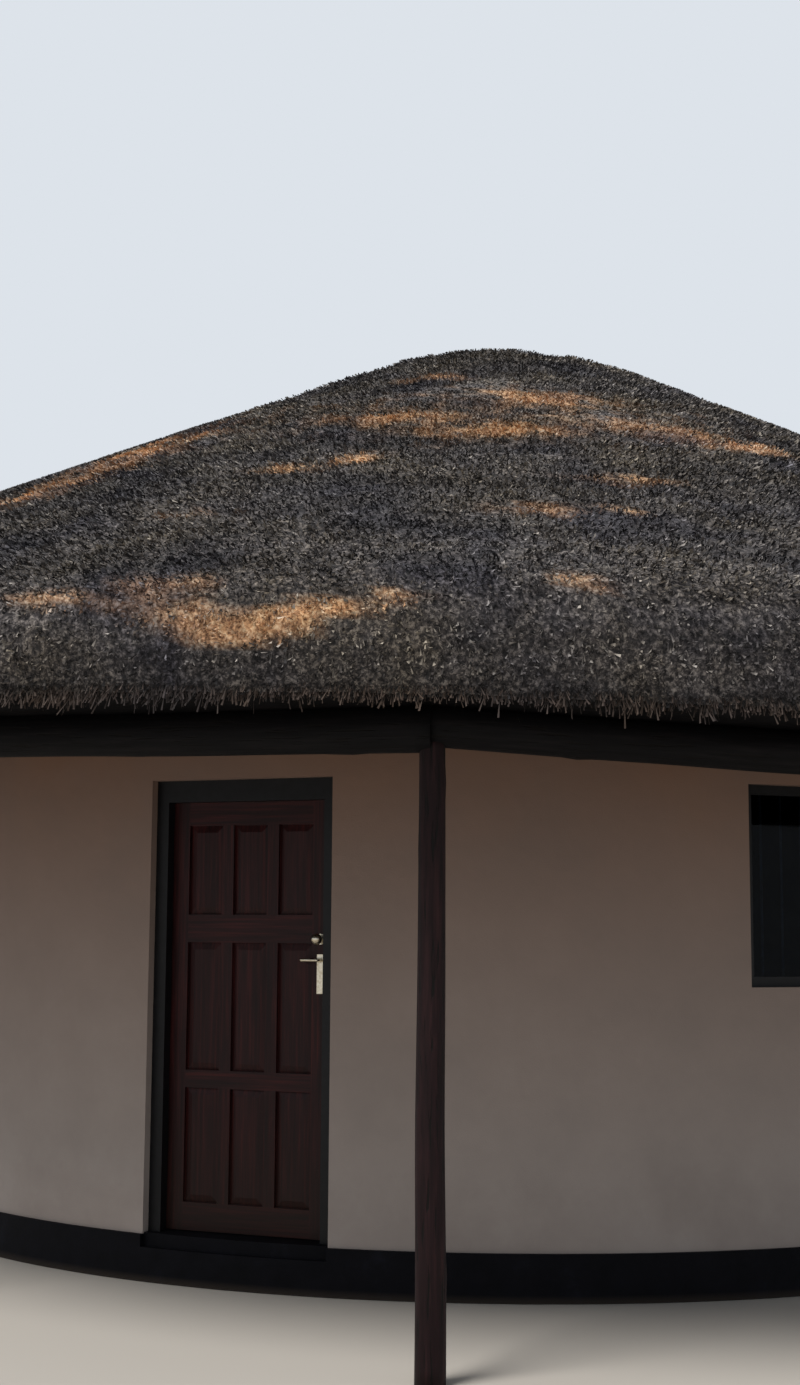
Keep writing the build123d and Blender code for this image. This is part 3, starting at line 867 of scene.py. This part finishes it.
def post_place(i, height=0.0):
    """The point at a height over the foot of a post, counted round the hut."""
    a = FIRST_POST + i * 2 * math.pi / POST_COUNT
    return np.array([POST_RING * math.sin(a), -POST_RING * math.cos(a), height])


generator = np.random.default_rng(41)
posts, beams = [], ([], [])
for i in range(POST_COUNT):
    tipped = leaned(post_place(i, HEADROOM + LOWER_TIP)[None])[0]
    posts.append(pole_arrays(post_place(i), post_place(i, tipped[2]), POST_RADIUS,
                             POST_RADIUS * POST_TAPER, generator, POST_BEND))
    for beam, (top, tip, butt, bedded) in zip(beams, TIERS):
        beam.append(pole_arrays(post_place(i, top - tip), post_place(i + 1, top - butt),
                                tip + bedded, butt + bedded, generator, BEAM_BEND, sag=SAG,
                                mitre=BAY_MITRE))
veranda_poles = join_poles("post_poles", posts, ["veranda_posts"])
beam_lower = join_poles("beam_poles_lower", beams[0], ["ring_beam_lower"], True)
beam_upper = join_poles("beam_poles_upper", beams[1], ["ring_beam_upper"], True)

# %% [markdown]
# ## Window bars
# Behind the glass stand thin upright steel bars, paler than the black frame, as a guard.
# They could be curves with a bevel; the pole builder makes the same round rods without a
# bend, with their ends in the frame's top and bottom members.

# %% Window bars
WINDOW_AZIMUTHS = (-46.5, 46.5, 180)
BAR_STEPS = (-3, -2, -1, 1, 2, 3)
BAR_RADIUS = 0.006
BAR_SPACING = 0.11
BAR_DEPTH = -3.335
BAR_FOOT, BAR_TOP = 1.37, 2.195

generator = np.random.default_rng(43)
bars = []
for azimuth in WINDOW_AZIMUTHS:
    window_turn = Matrix.Rotation(math.radians(azimuth), 3, "Z")
    for k in BAR_STEPS:
        ends = [window_turn @ Vector((k * BAR_SPACING, BAR_DEPTH, z))
                for z in (BAR_FOOT, BAR_TOP)]
        bars.append(pole_arrays(*ends, BAR_RADIUS, BAR_RADIUS, generator, bend=0.0,
                                spacing=0.2))
window_bars = join_poles("window_bars", bars)

# %% [markdown]
# ## Limewashed plaster
# The wall is masonry under a hand-floated sand plaster with limewash over it. The wash is
# thin and chalky, so the wall is quite matt and faintly blotched. Towards the top, under the
# roof, it is painted browner as warm shade. One flat colour would look like card; three
# noises do it: blotches in the wash, the long waves of the float, and the grit of the sand.

# %% Limewashed plaster
limewash, tree, shader = material("limewashed_sand_plaster", Roughness=0.9)
where = add(tree, "TexCoord").outputs["Object"]
# Blotches come from a wide brush and are about 0.75 m across. The wash's greys are darker
# than the cream limewash itself: part of the shade under the roof is painted into them.
blotch, wash = drift(tree, where, 0.75, [(0.3, "9E948F"), (0.5, "AAA09B"), (0.7, "B5ADA9")],
                     6, 0.62)
height = add(tree, "SeparateXYZ", Vector=where).outputs["Z"]
wobble = add(tree, "MapRange", Value=blotch, To_Min=-0.4, To_Max=0.4)
edge = add(tree, "Math", {"operation": "ADD"}, _0=height, _1=wobble.outputs[0])
under_roof = add(tree, "MapRange", Value=edge.outputs[0], From_Min=0.5, From_Max=2.7)
# Painted warm shade: the wash is multiplied browner towards the top of the wall
painted_warm_shade = add(tree, "Mix", MULTIPLY, Factor=under_roof.outputs[0], _6=wash, _7=colour("A87C5C"))
# A float leaves waves about a hand and a half wide
floated = add(tree, "TexNoise", Vector=where, Scale=1 / 0.22, Detail=2)
# Sand grains are 1 to 2 mm, drawn at 6 mm so that they show
grit = add(tree, "TexNoise", Vector=where, Scale=1 / 0.006, Detail=2)
soft = add(tree, "Bump", Height=floated.outputs["Fac"], Distance=0.02, Strength=0.5)
rough = add(tree, "Bump", Height=grit.outputs["Fac"], Distance=0.002, Strength=0.35,
            Normal=soft.outputs[0])
feed(shader, Base_Color=painted_warm_shade.outputs[2], Normal=rough.outputs[0])

# %% [markdown]
# ## Bitumen paint
# The plinth and the sill are brushed with black bitumen paint against splashing rain. It
# dries dull and thick, blue-black with thinner, greyer places, and gathers dust along the
# ground. A plain black would lose its form, so patches a hand wide drift in tone and bump.

# %% Bitumen paint
bitumen, tree, shader = material("black_bitumen_paint", Roughness=0.7, Specular_IOR_Level=0.12)
where = add(tree, "TexCoord").outputs["Object"]
patch, paint = drift(tree, where, 0.12, [(0.35, "040408"), (0.6, "0A0A10"), (0.78, "15161E")],
                     5, 0.65)
height = add(tree, "SeparateXYZ", Vector=where).outputs["Z"]
low = add(tree, "MapRange", Value=height, From_Min=0.035, From_Max=0.0, To_Max=0.5)
dusty = add(tree, "Mix", BLEND, Factor=low.outputs[0], _6=paint, _7=colour("4A423B"))
bump = add(tree, "Bump", Height=patch, Distance=0.01, Strength=0.4)
feed(shader, Base_Color=dusty.outputs[2], Normal=bump.outputs[0])

# %% [markdown]
# ## Cement screed
# The floor inside is a trowelled cement screed: grey-brown, matt, and worn in soft patches
# some 0.3 m across. Its fine pores don't show from the door, so one noise for tone and a
# shallow bump are enough. Enamel and metal are made the same way, with other numbers.


# %% Cement screed
def mottled(name, size, stops, detail=4, contrast=0.5, relief=None, **sockets):
    """A finish that drifts in tone in patches of one size, and in height if it has relief."""
    made, tree, shader = material(name, **sockets)
    where = add(tree, "TexCoord").outputs["Object"]
    value, tone = drift(tree, where, size, stops, detail, contrast)
    feed(shader, Base_Color=tone)
    if relief:
        bump = add(tree, "Bump", Height=value, Distance=relief[0], Strength=relief[1])
        feed(shader, Normal=bump.outputs[0])
    return made


screed = mottled("cement_screed", 0.3, [(0.3, "4A443E"), (0.7, "6B635A")], 6, 0.6,
                 relief=(0.004, 0.4), Roughness=0.75)

# %% [markdown]
# ## Pole timber
# The roof poles are brushed with dark preservative that dries nearly black and dull; the
# posts have a maroon stain with a faint sheen. Both show the streaks of the grain and long
# drying cracks. On the dressed poles the pattern follows the grain attribute; the straight
# CAD timbers under the roof take it from their own place.


# %% Pole timber
def pole_material(name, tones, roughness, follows):
    """Round timber with streaks and fine dark cracks, along the grain where it is known."""
    made, tree, shader = material(name, Roughness=roughness, Specular_IOR_Level=0.15)
    if follows:
        # Streaks are drawn out lengthwise to a third of a metre, and cracks to half of that
        grain = add(tree, "Attribute", {"attribute_name": "grain"}).outputs["Vector"]
        where = add(tree, "Mapping", Vector=grain, Scale=(1, 1, 0.06)).outputs[0]
    else:
        where = add(tree, "TexCoord").outputs["Object"]
    # Streaks are 5 mm wide, drawn at 20 mm, and cracks 2 mm, drawn at 11 mm, to show
    _, tone = drift(tree, where, 0.02, list(zip((0.3, 0.52, 0.75), tones)), 5, 0.65)
    crack = add(tree, "TexNoise", Vector=where, Scale=1 / 0.011, Detail=2)
    split = add(tree, "MapRange", Value=crack.outputs["Fac"], From_Min=0.36, From_Max=0.41)
    final = add(tree, "Mix", BLEND, Factor=split.outputs[0], _6=colour("0B0807"), _7=tone)
    bump = add(tree, "Bump", Height=split.outputs[0], Distance=0.004, Strength=0.6)
    feed(shader, Base_Color=final.outputs[2], Normal=bump.outputs[0])
    return made


DARK_TONES = ("040304", "0A090B", "181516")
MAROON_TONES = ("100708", "1D0F11", "301C1D")
dark_pole = pole_material("preservative_brushed_pole", DARK_TONES, 0.75, True)
dark_timber = pole_material("preservative_brushed_timber", DARK_TONES, 0.75, False)
stained_post = pole_material("maroon_stained_pole", MAROON_TONES, 0.6, True)
veranda_poles.data.materials.append(stained_post)
beam_lower.data.materials.append(dark_pole)
beam_upper.data.materials.append(dark_pole)

# %% [markdown]
# ## Door timber
# The door is a hardwood, stained red-brown and varnished, so it has a low sheen, and rain
# has bleached its foot. Its grain runs up and down on stiles and panels and across on the
# rails. Each board could have its own object and axes; as the leaf is one piece, a mask of
# the rails' heights swaps the direction instead.

# %% Door timber
LEAF_SIDE = 0.405
STILE = 0.088
# Lower and upper edges of the rails
RAILS = [(0.215, 0.34), (0.851, 0.931), (1.511, 1.638), (2.049, 2.167)]


def rail_mask(tree, where):
    """One on the rails of the leaf and zero on its stiles and muntins."""
    parts = add(tree, "SeparateXYZ", Vector=where)
    inside = add(tree, "Math", {"operation": "ABSOLUTE"}, _0=parts.outputs["X"])
    inside = add(tree, "Math", {"operation": "LESS_THAN"}, _0=inside.outputs[0],
                 _1=LEAF_SIDE - STILE)
    mask = None
    for low, high in RAILS:
        band = add(tree, "Math", {"operation": "COMPARE"}, _0=parts.outputs["Z"],
                   _1=(low + high) / 2, _2=(high - low) / 2)
        mask = band if mask is None else add(tree, "Math", {"operation": "ADD"},
                                             _0=mask.outputs[0], _1=band.outputs[0])
    return add(tree, "Math", {"operation": "MULTIPLY"}, _0=mask.outputs[0],
               _1=inside.outputs[0]).outputs[0]


def door_material(name, rails):
    """Varnished hardwood with its grain upright, and level on the rails if it has any."""
    made, tree, shader = material(name, Roughness=0.45, Specular_IOR_Level=0.2)
    where = add(tree, "TexCoord").outputs["Object"]
    # Pores are 1 mm wide, drawn at some 14 mm so that they show, and 0.4 m long
    run = add(tree, "Mapping", Vector=where, Scale=(70, 70, 2.6)).outputs[0]
    if rails:
        level = add(tree, "Mapping", Vector=where, Scale=(2.6, 70, 70)).outputs[0]
        run = add(tree, "Mix", {"data_type": "VECTOR"}, Factor=rail_mask(tree, where), _4=run,
                  _5=level).outputs[1]
    grain, tone = drift(tree, run, 1.0, [(0.3, "180606"), (0.5, "2C0F10"), (0.72, "481C1B")],
                        6, 0.6)
    figure = add(tree, "TexNoise", Vector=run, Scale=0.22, Detail=2)
    broad = add(tree, "ValToRGB", {"stops": [(0.35, "C9B9B2"), (0.65, "FFFFFF")]},
                Fac=figure.outputs["Fac"])
    mixed = add(tree, "Mix", MULTIPLY, Factor=0.8, _6=tone, _7=broad.outputs["Color"])
    height = add(tree, "SeparateXYZ", Vector=where).outputs["Z"]
    foot = add(tree, "MapRange", Value=height, From_Min=0.75, From_Max=0.2, To_Max=0.35)
    bleached = add(tree, "Mix", BLEND, Factor=foot.outputs[0], _6=mixed.outputs[2],
                   _7=colour("322820"))
    bump = add(tree, "Bump", Height=grain, Distance=0.001, Strength=0.5)
    feed(shader, Base_Color=bleached.outputs[2], Normal=bump.outputs[0])
    return made


varnished_joinery = door_material("varnished_red_hardwood_joinery", True)
varnished_panels = door_material("varnished_red_hardwood_panels", False)

# %% [markdown]
# ## Enamel
# The frames are brushed with black enamel and the bars with a pale grey one, both weathered
# to a satin. Fresh enamel mirrors the sky; years outdoors leave it duller, with brush marks
# about 30 mm wide that shift its tone a little.

# %% Enamel
black_enamel = mottled("black_enamel", 0.03, [(0.3, "060608"), (0.7, "101013")],
                       Roughness=0.45, Specular_IOR_Level=0.25)
pale_enamel = mottled("pale_grey_enamel", 0.03, [(0.3, "9A9CA2"), (0.7, "C4C6CC")],
                      Roughness=0.5)
window_bars.data.materials.append(pale_enamel)

# %% [markdown]
# ## Steel and plating
# The hinges are bare rolled steel gone dull, and the lock furniture has worn nickel plating
# that is still bright. An even metal looks new; stains about 15 mm wide, such as hands
# leave, drift in tone and make the highlights a little uneven.

# %% Steel and plating
HANDLING = {"detail": 5, "contrast": 0.7, "relief": (0.0005, 0.3), "Metallic": 1.0}
dull_steel = mottled("dull_steel", 0.015, [(0.35, "7A746A"), (0.65, "9A968E")],
                     Roughness=0.45, **HANDLING)
worn_plating = mottled("worn_nickel_plating", 0.015, [(0.35, "B8AC92"), (0.6, "D8D0BE")],
                       Roughness=0.28, **HANDLING)

# %% [markdown]
# ## Sheet glass
# The panes are old drawn sheet glass with a bluish tint, filmed with dust in soft drifts a
# hand wide. Real glass has an IOR of 1.5, but then the pale backdrop would mirror in it and
# hide the bars; a lower one keeps the panes as dark as the shaded room behind them.

# %% Sheet glass
sheet_glass, tree, shader = material("sheet_glass", IOR=1.15, Transmission_Weight=1.0)
where = add(tree, "TexCoord").outputs["Object"]
film, tint = drift(tree, where, 0.1, [(0.35, "4F5A68"), (0.7, "5E6976")], 4)
dust = add(tree, "MapRange", Value=film, To_Min=0.0, To_Max=0.07)
feed(shader, Base_Color=tint, Roughness=dust.outputs[0])

# %% [markdown]
# ## A finish for every CAD piece
# The record names a slot for each piece, so one table from slot to finish dresses them all
# and none is forgotten. Two pieces differ from their slot: the leaf has rails, and the sill
# is brushed with the plinth's paint.

# %% Give every CAD node its finish
FINISH = {
    "floor_screed": screed, "plinth_paint": bitumen, "wall_plaster": limewash,
    "frame_paint": black_enamel, "window_glass": sheet_glass, "door_frame_paint": black_enamel,
    "door_wood": varnished_panels, "hinge_steel": dull_steel, "handle_metal": worn_plating,
    "post_wood": dark_timber, "pole_wood": dark_timber, "thatch": matted_grass,
}
for row in frame["record"]["subparts"]:
    mesh = nodes[row["node"]].data
    mesh.materials.clear()
    mesh.materials.append(FINISH[row["material_slot"]])
nodes["door_leaf"].data.materials[0] = varnished_joinery
nodes["door_sill"].data.materials[0] = bitumen
